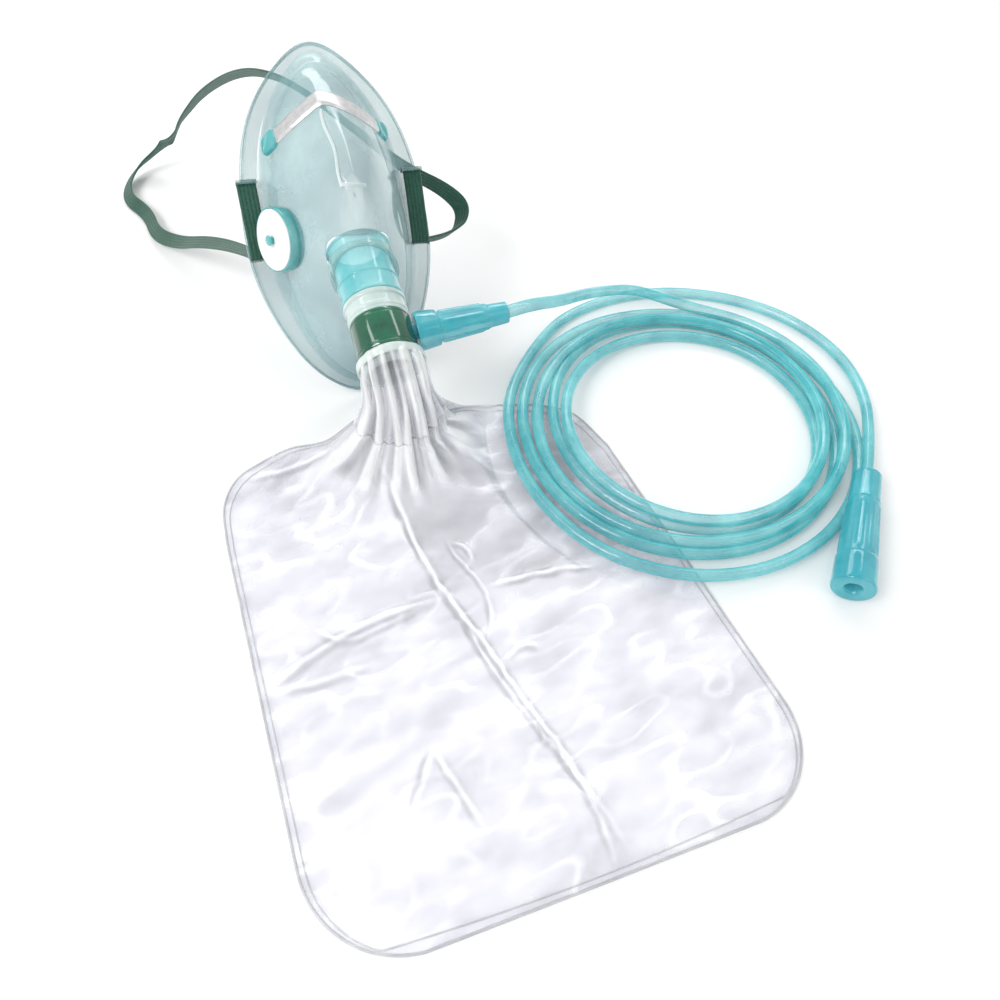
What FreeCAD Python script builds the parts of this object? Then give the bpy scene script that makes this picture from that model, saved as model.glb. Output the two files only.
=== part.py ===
"""Non-rebreathing oxygen mask with reservoir bag and tubing, in millimetres.

The origin is the centre of the bag's underside, on the surface that the mask
stands on. +Z is up, -Y runs from the mask's connector down the bag, and +X is
the side where the oxygen tubing leaves.
"""
import FreeCAD, Part
import math
import os

V = FreeCAD.Vector

# ---- driving dimensions ------------------------------------------------------
# place of the mask: the point where its port meets the connector axis
PORT_POINT = V(-7, 128, 72)
AXIS_PITCH = 18.0        # how far the connector axis points down, towards the bag
MASK_TILT = 54.0         # face plane of the mask from the horizontal
MASK_SWIVEL = -7.8       # how far the mask is swivelled on its connector

# mask shell, in the mask's own frame: x across, y from chin to nose, z outwards
PORT_Y = 57.0            # port centre above the chin
PORT_Z = 43.0            # port centre in front of the face plane
WALL = 1.4
FLANGE = 1.6
# height, lower end, upper end, half width of the dome's sections
DOME = [
    (0.0, 4.5, 145.5, 32.5),
    (10.0, 9.0, 138.0, 29.5),
    (20.0, 18.0, 129.0, 25.5),
    (30.0, 32.0, 119.0, 20.5),
    (40.0, 48.0, 108.0, 14.5),
    (48.0, 62.0, 98.0, 8.5),
    (52.0, 74.0, 93.0, 4.0),
]
RIM_HALF_WIDTH = 42.0
RIM_LENGTH = 150.0
CLIP_T = 0.6             # aluminium nose clip
CLIP_W = 6.5
CLIP_HALF_SPAN = 25.0
CLIP_PEAK_Y = 126.0
CLIP_DROP = 9.0
TAB_T = 1.8

# connector line: outside radius of the 22 mm breathing fittings
SPIGOT_R = 12.5
BORE_R = 10.5
LIP_R = 13.7
FIT_GAP = 0.05
SLEEVE_WALL = 1.9
# stations along the connector axis, measured from the port point
SWIVEL_START = -8.0
SWIVEL_END = 18.0
RING_END = 27.0
INLET_AT = 34.5
HOUSING_END = 43.0
COLLAR_END = 50.0
SEAT_AT = 28.0
FLAP_R = 8.6
FLAP_T = 0.8
INSIDE_PEG_R = 1.3

# exhalation valve, on the left cheek
VALVE_POINT = V(-26.5, 72, 15.5)
VALVE_DIR = V(-0.9, 0.0, 0.436)
VALVE_R = 13.5
VALVE_BORE_R = 10.0
VALVE_FACE = 5.2
VALVE_FLAP_R = 12.6
PEG_R = 1.6

# reservoir bag: two welded films, and a neck gathered on the collar
NECK_POINT = V(-7, 88, 0)
BAG_TURN = 4.5           # the bag lies a little askew of the connector axis
BAG_HALF_WIDTH = 89.0
BAG_SHOULDER = 5.0       # distances down the bag from the neck point
BAG_TOP = -22.0
BAG_BOTTOM = 198.0
BAG_TOP_HALF = 36.0
BAG_CORNER = 24.0
BAG_THICK = 4.5
FILM_T = 0.8
NECK_R = 13.0            # gathered film around the collar

# oxygen tubing
TUBE_R = 2.7
NIPPLE_R = 3.0
NIPPLE_END = 17.0
CONNECTOR_END = 39.0
COIL_CENTRE = V(120, 58, 0)
COIL_OUTER = 87.0
COIL_EYE = V(123.5, 59.8, 0)
COIL_INNER = 56.0
COIL_HEIGHT = 17.0
END_START = V(181.5, 2.5, 9.0)
END_DIR = V(-0.6226, -0.7825, 0)
END_LENGTH = 60.0
END_R = 8.6
SOCKET_R = 3.1
SOCKET_DEPTH = 20.0

# elastic head strap
STRAP_R = 2.0
STRAP_W = 8.4
STRAP_T = 1.2
STRAP_X = 37.2
SLOT_LOW = 65.0
SLOT_HIGH = 97.0
SLOT_H = 2.4

AXIS = V(0, -math.cos(math.radians(AXIS_PITCH)), -math.sin(math.radians(AXIS_PITCH)))

# ---- routes of the soft lines, straight runs joined by tangent arcs -------------
LEAD_ROUTE = [(56, 97.5, 60.6), (72, 104, 53), (89, 117, 42), (108, 129, 30), (129, 136, 19.9)]
TAIL_ROUTE = [
    (82, 139, 3.0), (104, 149, 3.0), (131, 152, 3.0), (159, 146, 3.0), (186, 131, 3.0), (207, 108, 3.0),
    (217, 79, 3.0), (214, 52, 3.6), (201, 27, 6.0),
]
STRAP_LEFT_ROUTE = [
    (-50, 176, 54), (-60, 200, 44), (-76, 232, 28), (-92, 260, 11), (-106, 282, 4.4), (-109, 306, 3.4),
    (-122, 328, 3.4), (-115, 352, 5), (-96, 356, 14), (-84, 345, 26), (-74, 336, 41), (-57, 318, 62),
    (-36, 285, 84), (-20, 250, 96),
]
STRAP_RIGHT_ROUTE = [
    (-20, 250, 96), (-6, 232, 92), (12, 214, 80), (30, 200, 66), (46, 194, 57), (55, 191, 46), (46, 180, 40),
    (29, 172, 47),
]


# ---- helpers -------------------------------------------------------------------
def save(name, shape):
    """Writes one sub-part and reports its volume and height range."""
    if not shape.isValid():
        print("INVALID", name)
    shape.exportStep("parts/%s.step" % name)
    box = shape.BoundBox
    facts = (name, len(shape.Solids), shape.Volume, box.ZMin, box.ZMax)
    print("%-24s solids %d  volume %8.1f  z %.2f to %.2f" % facts)


def along(t):
    """Point on the connector axis, t from the port point towards the bag."""
    return PORT_POINT + AXIS * t


def pipe(base, way, start, end, outer, inner=0.0):
    """Cylinder, hollow where inner is given, between two stations of an axis."""
    shape = Part.makeCylinder(outer, end - start, base + way * start, way)
    if inner > 0:
        shape = shape.cut(Part.makeCylinder(inner, end - start + 2, base + way * (start - 1), way))
    return shape


def on_axis(start, end, outer, inner=0.0):
    return pipe(PORT_POINT, AXIS, start, end, outer, inner)


def cone(base, way, start, end, r_start, r_end):
    return Part.makeCone(r_start, r_end, end - start, base + way * start, way)


def mask_place():
    """Placement of the mask's own frame in the whole object."""
    tilt = FreeCAD.Rotation(V(1, 0, 0), MASK_TILT)
    turn = FreeCAD.Rotation(AXIS, MASK_SWIVEL).multiply(tilt)
    return FreeCAD.Placement(PORT_POINT - turn.multVec(V(0, PORT_Y, PORT_Z)), turn)


def on_mask(shape):
    """Moves a shape built in the mask's frame to its place."""
    placed = shape.copy()
    placed.transformShape(mask_place().toMatrix(), True)
    return placed


def soft_path(points):
    """Wire of straight runs joined by the largest arcs that the runs allow."""
    corners = [V(*p) for p in points]
    edges, radii = [], []
    last = corners[0]
    for before, corner, after in zip(corners, corners[1:], corners[2:]):
        back, ahead = before - corner, after - corner
        run = min(back.Length, ahead.Length)
        turn = math.pi - back.getAngle(ahead)
        reach = 0.45 * run
        radii.append(reach / math.tan(turn / 2))
        start = corner + back.normalize() * reach
        end = corner + ahead.normalize() * reach
        middle = (start + end) * 0.5
        bisector = (middle - corner).normalize()
        depth = math.hypot(radii[-1], reach) - radii[-1]
        edges.append(Part.LineSegment(last, start).toShape())
        edges.append(Part.Arc(start, corner + bisector * depth, end).toShape())
        last = end
    edges.append(Part.LineSegment(last, corners[-1]).toShape())
    return Part.Wire(edges), radii


def soft_tube(name, points, radius):
    """Tube along a route, with its radii and its volume set against its length."""
    path, radii = soft_path(points)
    start, ahead = V(*points[0]), V(*points[1]) - V(*points[0])
    ring = Part.Wire([Part.makeCircle(radius, start, ahead)])
    shape = path.makePipeShell([ring], True, False)
    ideal = math.pi * radius ** 2 * path.Length
    print("%s: length %.0f, radii %s, volume ratio %.4f"
          % (name, path.Length, [round(r) for r in radii], shape.Volume / ideal))
    return shape


# ---- mask ------------------------------------------------------------------------
def pear(z, low, high, half):
    """Closed pear-shaped outline: broad cheeks, round chin, narrow nose."""
    span = high - low
    side = [(0.40, 0.05), (0.78, 0.20), (0.99, 0.40), (0.98, 0.58), (0.78, 0.80), (0.38, 0.945)]
    right = [V(half * x, low + span * y, z) for x, y in side]
    left = [V(-p.x, p.y, p.z) for p in reversed(right)]
    curve = Part.BSplineCurve()
    curve.interpolate([V(0, low, z)] + right + [V(0, high, z)] + left, PeriodicFlag=True)
    return Part.Wire([curve.toShape()])


def dome(inset, below=0.0):
    """Solid dome with its sections drawn in by the inset, or out where it is negative."""
    wires = []
    for z, low, high, half in DOME:
        level = z - inset if z > 0 else -below
        wires.append(pear(level, low + inset, high - inset, half - inset))
    return Part.makeLoft(wires, True, False)


def port_dir():
    """Direction of the port in the mask's frame, outwards."""
    angle = math.radians(AXIS_PITCH + 90 - MASK_TILT)
    return V(0, -math.sin(angle), math.cos(angle))


def mask_shell():
    port, way = V(0, PORT_Y, PORT_Z), port_dir()
    rim = Part.Face(pear(0, 0, RIM_LENGTH, RIM_HALF_WIDTH)).extrude(V(0, 0, FLANGE))
    body = dome(0).fuse(rim)
    body = body.fuse(pipe(port, way, -7, 4, SPIGOT_R + FIT_GAP + SLEEVE_WALL))
    inside = dome(WALL, 1.0).cut(pipe(port, way, -7, 4, SPIGOT_R + FIT_GAP + SLEEVE_WALL))
    body = body.cut(inside)
    body = body.cut(pipe(port, way, -30, 20, SPIGOT_R + FIT_GAP))
    body = body.cut(pipe(port, way, -30, SWIVEL_START + 0.3, LIP_R + 0.5))
    out = V(VALVE_DIR).normalize()
    body = body.cut(pipe(VALVE_POINT, out, -12, 8, VALVE_BORE_R + 0.2))
    for side in (-1, 1):
        for y in (SLOT_LOW, SLOT_HIGH):
            corner = V(side * STRAP_X - STRAP_W / 2 - 0.3, y - SLOT_H / 2, -1)
            body = body.cut(Part.makeBox(STRAP_W + 0.6, SLOT_H, FLANGE + 2, corner))
    return body


def skin(thick, outline):
    """Piece that lies on the dome, under an outline drawn across it."""
    prism = Part.Face(Part.makePolygon(outline + [outline[0]])).extrude(V(0, 0, 80))
    return dome(-thick).cut(dome(0)).common(prism)


def nose_clip():
    """Bent aluminium strip across the bridge of the nose."""
    top = [V(-CLIP_HALF_SPAN, CLIP_PEAK_Y - CLIP_DROP, FLANGE + 0.3), V(0, CLIP_PEAK_Y, FLANGE + 0.3),
           V(CLIP_HALF_SPAN, CLIP_PEAK_Y - CLIP_DROP, FLANGE + 0.3)]
    low = [p - V(0, CLIP_W, 0) for p in reversed(top)]
    return skin(CLIP_T, top + low)


def nose_clip_tabs():
    """Two moulded tabs that hold the ends of the clip."""
    tabs = []
    for side in (-1, 1):
        x0, x1 = side * (CLIP_HALF_SPAN - 3.5), side * (CLIP_HALF_SPAN + 3)
        y0, y1 = CLIP_PEAK_Y - CLIP_DROP - CLIP_W - 1, CLIP_PEAK_Y - CLIP_DROP + 2
        corners = [V(x0, y0, FLANGE), V(x1, y0, FLANGE), V(x1, y1, FLANGE), V(x0, y1, FLANGE)]
        tabs.append(skin(TAB_T, corners).cut(skin(CLIP_T + 0.02, corners)))
    return Part.makeCompound(tabs)


def exhalation_seat():
    """Ring, spokes and peg that carry the flap on the left cheek."""
    way = V(VALVE_DIR).normalize()
    body = pipe(VALVE_POINT, way, -1.2, VALVE_FACE, VALVE_R, VALVE_BORE_R)
    across = way.cross(V(0, 1, 0)).normalize()
    turn = FreeCAD.Rotation(across, V(0, 1, 0), way, "ZXY")
    for angle in (0, 60, 120):
        bar = Part.makeBox(2 * VALVE_BORE_R + 1, 1.6, 1.5, V(-VALVE_BORE_R - 0.5, -0.8, 0))
        bar.rotate(V(0, 0, 0), V(0, 0, 1), angle)
        bar.Placement = FreeCAD.Placement(VALVE_POINT + way * (VALVE_FACE - 1.5), turn).multiply(bar.Placement)
        body = body.fuse(bar)
    peg = pipe(VALVE_POINT, way, VALVE_FACE - 1, VALVE_FACE + 2.4, PEG_R)
    head = pipe(VALVE_POINT, way, VALVE_FACE + 2.2, VALVE_FACE + 3.0, PEG_R + 0.9)
    return body.fuse(peg).fuse(head)


def exhalation_flap():
    way = V(VALVE_DIR).normalize()
    return pipe(VALVE_POINT, way, VALVE_FACE + 0.05, VALVE_FACE + 0.05 + FLAP_T, VALVE_FLAP_R, PEG_R + FIT_GAP)


def strap_run(side):
    """Stretch of the band that lies on the flange between its two slots."""
    corner = V(side * STRAP_X - STRAP_W / 2, SLOT_LOW, FLANGE + 0.05)
    return Part.makeBox(STRAP_W, SLOT_HIGH - SLOT_LOW, STRAP_T, corner)


# ---- connector line ----------------------------------------------------------------
def swivel_connector():
    """Clear straight connector, with a lip that keeps it in the mask's port."""
    body = on_axis(SWIVEL_START, SWIVEL_END, SPIGOT_R, BORE_R)
    lip = on_axis(SWIVEL_START - 1.4, SWIVEL_START, LIP_R, BORE_R)
    spigot = on_axis(SWIVEL_END, RING_END - 0.6, BORE_R - FIT_GAP, BORE_R - 1.5)
    step = on_axis(SWIVEL_END - 1.5, SWIVEL_END, SPIGOT_R, BORE_R - 1.5)
    return body.fuse(lip).fuse(spigot).fuse(step)


def seal_ring():
    ring = on_axis(SWIVEL_END, RING_END, SPIGOT_R - 0.1, BORE_R)
    bead = on_axis(SWIVEL_END + 0.4, SWIVEL_END + 2.2, SPIGOT_R + 0.7, BORE_R)
    return ring.fuse(bead)


def inlet_point():
    return along(INLET_AT)


def valve_housing():
    body = on_axis(RING_END, HOUSING_END, SPIGOT_R - 0.2, BORE_R)
    return body.cut(pipe(inlet_point(), V(1, 0, 0), 5, 20, NIPPLE_R + 1.2))


def inhalation_seat():
    """Spoked disc and peg inside the housing."""
    body = on_axis(SEAT_AT, SEAT_AT + 1.5, BORE_R - 0.02, FLAP_R - 1.0)
    turn = FreeCAD.Rotation(V(1, 0, 0), V(0, 0, 1), AXIS, "ZXY")
    for angle in (0, 60, 120):
        bar = Part.makeBox(2 * FLAP_R, 1.4, 1.5, V(-FLAP_R, -0.7, 0))
        bar.rotate(V(0, 0, 0), V(0, 0, 1), angle)
        bar.Placement = FreeCAD.Placement(along(SEAT_AT), turn).multiply(bar.Placement)
        body = body.fuse(bar)
    peg = on_axis(SEAT_AT - 3.2, SEAT_AT + 1.0, INSIDE_PEG_R)
    head = on_axis(SEAT_AT - 3.7, SEAT_AT - 3.1, INSIDE_PEG_R + 0.7)
    return body.fuse(peg).fuse(head)


def inhalation_flap():
    return on_axis(SEAT_AT - 0.05 - FLAP_T, SEAT_AT - 0.05, FLAP_R, INSIDE_PEG_R + FIT_GAP)


def inlet_nipple():
    """Barbed nipple on the side of the housing."""
    base, way = inlet_point(), V(1, 0, 0)
    body = pipe(base, way, BORE_R - 0.2, SPIGOT_R + 0.4, NIPPLE_R + 1.2)
    body = body.fuse(pipe(base, way, SPIGOT_R, SPIGOT_R + NIPPLE_END, NIPPLE_R))
    return body.cut(pipe(base, way, 5, 40, NIPPLE_R - 1.2))


def bag_collar():
    collar = on_axis(HOUSING_END, COLLAR_END, SPIGOT_R - 0.4, BORE_R - 0.4)
    return collar.fuse(on_axis(HOUSING_END - 4, HOUSING_END, BORE_R - 0.02, BORE_R - 1.4))


def bag_tie_band():
    return on_axis(HOUSING_END + 2, HOUSING_END + 4.6, NECK_R + 0.5, NECK_R - 0.3)


# ---- bag -------------------------------------------------------------------------
def bag_place():
    turn = FreeCAD.Rotation(V(0, 0, 1), BAG_TURN)
    return FreeCAD.Placement(NECK_POINT, turn)


def bag_prism(z0, z1, inset):
    """Bag's outline between two levels: sloping shoulders and round corners."""
    wide, top = BAG_HALF_WIDTH - inset, BAG_TOP + inset
    low = BAG_BOTTOM - inset
    points = [V(-BAG_TOP_HALF, -top, z0), V(BAG_TOP_HALF, -top, z0), V(wide, -BAG_SHOULDER, z0),
              V(wide, -low, z0), V(-wide, -low, z0), V(-wide, -BAG_SHOULDER, z0)]
    prism = Part.Face(Part.makePolygon(points + [points[0]])).extrude(V(0, 0, z1 - z0))
    uprights = [e for e in prism.Edges if abs(e.tangentAt(e.FirstParameter).z) > 0.9]
    corners = [e for e in uprights if abs(e.Vertexes[0].X) > BAG_TOP_HALF + 1]
    return prism.makeFillet(BAG_CORNER - inset, corners)


def on_bag(shape):
    placed = shape.copy()
    placed.transformShape(bag_place().toMatrix(), True)
    return placed


def bag_front_film():
    """Upper film, crowned a little where it stands off the lower one."""
    edge = bag_prism(FILM_T, 2 * FILM_T, 0)
    crown = bag_prism(2 * FILM_T, BAG_THICK, 5)
    return on_bag(edge.fuse(crown))


def bag_back_film():
    return on_bag(bag_prism(0, FILM_T, 0))


def oval(centre, normal, half_x, half_n):
    """Oval wire, half_x across and half_n along the other way."""
    ring = Part.Wire([Part.Ellipse(V(0, 0, 0), half_x, half_n).toShape()])
    turn = FreeCAD.Rotation(V(1, 0, 0), normal.cross(V(1, 0, 0)), normal, "ZXY")
    ring.Placement = FreeCAD.Placement(centre, turn)
    return ring


def bag_neck():
    """Neck gathered on the collar, widening down onto the bag."""
    start = along(COLLAR_END)
    wires = [
        oval(start, AXIS, NECK_R + 0.05, NECK_R),
        oval(start + V(0, -12, -14), V(0, -0.62, -0.78), 21, 10),
        oval(start + V(1, -28, -36), V(0, -0.62, -0.78), 28, 6),
        oval(start + V(2, -46, -53), V(0, -0.97, -0.24), 32, 1.6),
    ]
    film = on_axis(HOUSING_END + 1, COLLAR_END + 0.5, NECK_R - 0.3, SPIGOT_R - 0.38)
    return Part.makeLoft(wires, True, False).fuse(film)


# ---- tubing ------------------------------------------------------------------------
def tube_inlet_connector():
    """Stepped soft connector that pushes onto the nipple."""
    base, way = inlet_point(), V(1, 0, 0)
    first = SPIGOT_R + 0.8
    body = cone(base, way, first, first + 9, 8.0, 7.4)
    body = body.fuse(cone(base, way, first + 9, first + CONNECTOR_END, 6.4, 4.4))
    body = body.cut(pipe(base, way, first - 1, first + NIPPLE_END + 1, NIPPLE_R + FIT_GAP))
    return body.cut(pipe(base, way, first, first + CONNECTOR_END + 1, TUBE_R - 1.0))


def connector_tip():
    return inlet_point() + V(SPIGOT_R + 0.8 + CONNECTOR_END, 0, 0)


def lead_points():
    tip = connector_tip()
    return [(tip.x, tip.y, tip.z)] + LEAD_ROUTE


def tail_points():
    return TAIL_ROUTE + [(END_START.x, END_START.y, END_START.z)]


def tube_coil():
    """Outer shape of the loose coil, cut clear of the bag under it and of the end connector."""
    ring = Part.makeCylinder(COIL_OUTER, COIL_HEIGHT, COIL_CENTRE)
    ring = ring.cut(Part.makeCylinder(COIL_INNER, COIL_HEIGHT + 2, COIL_EYE - V(0, 0, 1)))
    ring = ring.cut(pipe(END_START, V(END_DIR).normalize(), -6, END_LENGTH + 6, END_R + 0.8))
    return ring.cut(on_bag(bag_prism(-1, BAG_THICK + 0.4, -24)))


def tube_end_connector():
    """Flared push-on connector for an oxygen outlet."""
    way = V(END_DIR).normalize()
    body = cone(END_START, way, 0, 17, 6.2, 6.6)
    body = body.fuse(cone(END_START, way, 17, END_LENGTH, 6.8, END_R))
    body = body.cut(pipe(END_START, way, END_LENGTH - SOCKET_DEPTH, END_LENGTH + 1, SOCKET_R))
    return body.cut(pipe(END_START, way, -1, END_LENGTH, TUBE_R - 1.0))


# ---- all pieces --------------------------------------------------------------------
def main():
    os.makedirs("parts", exist_ok=True)
    save("mask_shell", on_mask(mask_shell()))
    save("nose_clip", on_mask(nose_clip()))
    save("nose_clip_tabs", on_mask(nose_clip_tabs()))
    save("exhalation_seat", on_mask(exhalation_seat()))
    save("exhalation_flap", on_mask(exhalation_flap()))
    save("strap_run_left", on_mask(strap_run(-1)))
    save("strap_run_right", on_mask(strap_run(1)))
    save("strap_loop_left", soft_tube("strap_loop_left", STRAP_LEFT_ROUTE, STRAP_R))
    save("strap_loop_right", soft_tube("strap_loop_right", STRAP_RIGHT_ROUTE, STRAP_R))
    save("swivel_connector", swivel_connector())
    save("seal_ring", seal_ring())
    save("valve_housing", valve_housing())
    save("inhalation_seat", inhalation_seat())
    save("inhalation_flap", inhalation_flap())
    save("inlet_nipple", inlet_nipple())
    save("bag_collar", bag_collar())
    save("bag_tie_band", bag_tie_band())
    save("bag_neck", bag_neck())
    save("bag_front_film", bag_front_film())
    save("bag_back_film", bag_back_film())
    save("tube_inlet_connector", tube_inlet_connector())
    save("oxygen_tube_lead", soft_tube("oxygen_tube_lead", lead_points(), TUBE_R))
    save("oxygen_tube_coil", tube_coil())
    save("oxygen_tube_tail", soft_tube("oxygen_tube_tail", tail_points(), TUBE_R))
    save("tube_end_connector", tube_end_connector())


main()
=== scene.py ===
"""Looks of the oxygen mask with reservoir bag and tubing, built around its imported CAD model.

Dimensions are in millimetres unless a name or comment says otherwise; the scene is in metres.
"""
import bpy
import bmesh
import math
import numpy as np
from mathutils import Matrix, Vector, noise
from mathutils.bvhtree import BVHTree
from mathutils.kdtree import KDTree


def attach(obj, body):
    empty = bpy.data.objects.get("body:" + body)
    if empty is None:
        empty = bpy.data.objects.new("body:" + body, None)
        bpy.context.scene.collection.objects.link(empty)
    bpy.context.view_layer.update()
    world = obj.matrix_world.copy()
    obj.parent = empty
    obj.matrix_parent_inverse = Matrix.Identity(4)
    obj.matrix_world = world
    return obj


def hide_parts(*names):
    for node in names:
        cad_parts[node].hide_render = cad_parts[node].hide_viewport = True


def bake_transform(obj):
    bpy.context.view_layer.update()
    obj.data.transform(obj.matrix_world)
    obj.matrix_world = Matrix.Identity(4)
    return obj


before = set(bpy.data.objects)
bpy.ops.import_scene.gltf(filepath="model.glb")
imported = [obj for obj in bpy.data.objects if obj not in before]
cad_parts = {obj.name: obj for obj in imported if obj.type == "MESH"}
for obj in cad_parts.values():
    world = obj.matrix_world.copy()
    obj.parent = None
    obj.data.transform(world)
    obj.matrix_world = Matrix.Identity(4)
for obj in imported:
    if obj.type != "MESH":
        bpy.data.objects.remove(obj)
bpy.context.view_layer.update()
MM = 0.001

# ---- dimensions shared with the CAD model, millimetres ----
PORT_POINT = Vector((-7, 128, 72))
AXIS_PITCH = math.radians(18.0)
MASK_TILT = math.radians(54.0)
MASK_SWIVEL = math.radians(-7.8)
AXIS = Vector((0, -math.cos(AXIS_PITCH), -math.sin(AXIS_PITCH)))
COLLAR_UP = Vector((0, -math.sin(AXIS_PITCH), math.cos(AXIS_PITCH)))
PORT_Y, PORT_Z = 57.0, 43.0
DOME = [
    (0.0, 4.5, 145.5, 32.5),
    (10.0, 9.0, 138.0, 29.5),
    (20.0, 18.0, 129.0, 25.5),
    (30.0, 32.0, 119.0, 20.5),
    (40.0, 48.0, 108.0, 14.5),
    (48.0, 62.0, 98.0, 8.5),
    (52.0, 74.0, 93.0, 4.0),
]
SIDE = [(0.40, 0.05), (0.78, 0.20), (0.99, 0.40), (0.98, 0.58), (0.78, 0.80), (0.38, 0.945)]
RIM_HALF_WIDTH, RIM_LENGTH = 42.0, 150.0
WALL = 1.3
VALVE_POINT = Vector((-26.5, 72, 15.5))
VALVE_DIR = Vector((-0.9, 0.0, 0.436)).normalized()
STRAP_X, SLOT_LOW, SLOT_HIGH = 37.2, 65.0, 97.0
BAG_LEFT = Vector((-91, 60)), Vector((-81.5, -112))
BAG_RIGHT = Vector((83, 60)), Vector((102.5, -109))
BAG_CORNER = 36.0
TUBE_R = 2.7
COIL_CENTRE = Vector((120, 58, 0))
COIL_EYE = Vector((123.5, 59.8, 0))
INLET = PORT_POINT + AXIS * 34.5
CONNECTOR_FIRST, CONNECTOR_LENGTH = 13.3, 39.0
TIP = INLET + Vector((CONNECTOR_FIRST + CONNECTOR_LENGTH, 0, 0))
END_START = Vector((181.5, 2.5, 9.0))
END_DIR = Vector((-0.6226, -0.7825, 0)).normalized()
END_LENGTH = 60.0

LEAD_ROUTE = [(56, 97.5, 60.6), (72, 104, 53), (89, 117, 42), (108, 129, 30), (129, 136, 19.9)]
TAIL_ROUTE = [
    (82, 139, 3.0), (104, 149, 3.0), (131, 152, 3.0), (159, 146, 3.0), (186, 131, 3.0), (207, 108, 3.0),
    (217, 79, 3.0), (214, 52, 3.6), (201, 27, 6.0),
]
STRAP_LEFT_ROUTE = [
    (-50, 176, 54), (-60, 200, 44), (-76, 232, 28), (-92, 260, 11), (-106, 282, 4.4), (-109, 306, 3.4),
    (-122, 328, 3.4), (-115, 352, 5), (-96, 356, 14), (-84, 345, 26), (-74, 336, 41), (-57, 318, 62),
    (-36, 285, 84), (-20, 250, 96),
]
STRAP_RIGHT_ROUTE = [
    (-20, 250, 96), (-6, 232, 92), (12, 214, 80), (30, 200, 66), (46, 194, 57), (55, 191, 46), (46, 180, 40),
    (29, 172, 47),
]


# ---- helpers ----
def mask_matrix():
    """The mask's own frame in the whole object, both in millimetres."""
    turn = Matrix.Rotation(MASK_SWIVEL, 3, AXIS) @ Matrix.Rotation(MASK_TILT, 3, "X")
    origin = PORT_POINT - turn @ Vector((0, PORT_Y, PORT_Z))
    return Matrix.Translation(origin) @ turn.to_4x4()


def axis_matrix(base, way):
    """Frame whose Z runs along way from base."""
    return Matrix.Translation(base) @ Vector(way).to_track_quat("Z", "Y").to_matrix().to_4x4()


MASK = mask_matrix()
LINE = axis_matrix(PORT_POINT, AXIS)
VALVE = MASK @ axis_matrix(VALVE_POINT, VALVE_DIR)


def added(name, data):
    """New object in the scene."""
    obj = bpy.data.objects.new(name, data)
    bpy.context.collection.objects.link(obj)
    return obj


def make(name, verts, faces, place=Matrix.Identity(4), smooth=35):
    """Mesh object from points in millimetres, in a frame that place puts in the object's own."""
    mesh = bpy.data.meshes.new(name)
    mesh.from_pydata([tuple((place @ Vector(v)) * MM) for v in verts], [], faces)
    mesh.validate()
    bm = bmesh.new()
    bm.from_mesh(mesh)
    bmesh.ops.remove_doubles(bm, verts=bm.verts, dist=1e-6)
    bmesh.ops.recalc_face_normals(bm, faces=bm.faces)
    bm.to_mesh(mesh)
    bm.free()
    mesh.shade_smooth()
    mesh.set_sharp_from_angle(angle=math.radians(smooth))
    return added(name, mesh)


def grid_faces(rows, columns, wrap_rows=False, wrap_columns=True):
    """Quads of a grid of points stored row by row."""
    faces = []
    for i in range(rows if wrap_rows else rows - 1):
        for j in range(columns if wrap_columns else columns - 1):
            a, b = i * columns + j, i * columns + (j + 1) % columns
            c, d = ((i + 1) % rows) * columns + (j + 1) % columns, ((i + 1) % rows) * columns + j
            faces.append((a, b, c, d))
    return faces


def end_caps(rows, count):
    """Closing faces over the first and the last row of a grid."""
    return [tuple(range(count)), tuple(range((rows - 1) * count, rows * count))]


def lathe(name, place, profile, around=96, smooth=35):
    """Ring turned from a closed profile of (station, radius), rounded where the profile is."""
    verts = []
    for t, r in profile:
        for k in range(around):
            a = 2 * math.pi * k / around
            verts.append((r * math.cos(a), r * math.sin(a), t))
    return make(name, verts, grid_faces(len(profile), around, wrap_rows=True), place, smooth)


def rounded(points, radius=0.4, steps=3):
    """Closed profile with each corner replaced by a short arc."""
    result = []
    count = len(points)
    for i, p in enumerate(points):
        p = Vector(p)
        back = Vector(points[i - 1]) - p
        ahead = Vector(points[(i + 1) % count]) - p
        reach = min(radius, back.length * 0.45, ahead.length * 0.45)
        start, end = p + back.normalized() * reach, p + ahead.normalized() * reach
        for k in range(steps + 1):
            f = k / steps
            result.append(tuple(start.lerp(p, f).lerp(p.lerp(end, f), f)))
    return result


def nurbs(name, points, radius, resolution):
    """Curve of one open smooth spline whose control points are given in millimetres."""
    curve = bpy.data.curves.new(name, "CURVE")
    curve.dimensions = "3D"
    curve.resolution_u = resolution
    curve.bevel_depth = radius * MM
    curve.bevel_resolution = 6
    curve.use_fill_caps = radius > 0
    spline = curve.splines.new("NURBS")
    spline.points.add(len(points) - 1)
    for slot, p in zip(spline.points, points):
        slot.co = (p[0] * MM, p[1] * MM, p[2] * MM, 1.0)
    spline.order_u = 3
    spline.use_endpoint_u = True
    return added(name, curve)


def traced(points, resolution):
    """Points along the smooth spline through a route, in millimetres."""
    probe = nurbs("probe", points, 0.0, resolution)
    depsgraph = bpy.context.evaluated_depsgraph_get()
    mesh = bpy.data.meshes.new_from_object(probe.evaluated_get(depsgraph))
    line = np.array([v.co for v in mesh.vertices]) / MM
    bpy.data.meshes.remove(mesh)
    bpy.data.objects.remove(probe)
    return line


def smoothstep(low, high, x):
    """0 at low, 1 at high and a smooth change between."""
    f = np.clip((x - low) / (high - low), 0.0, 1.0)
    return f * f * (3 - 2 * f)


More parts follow.
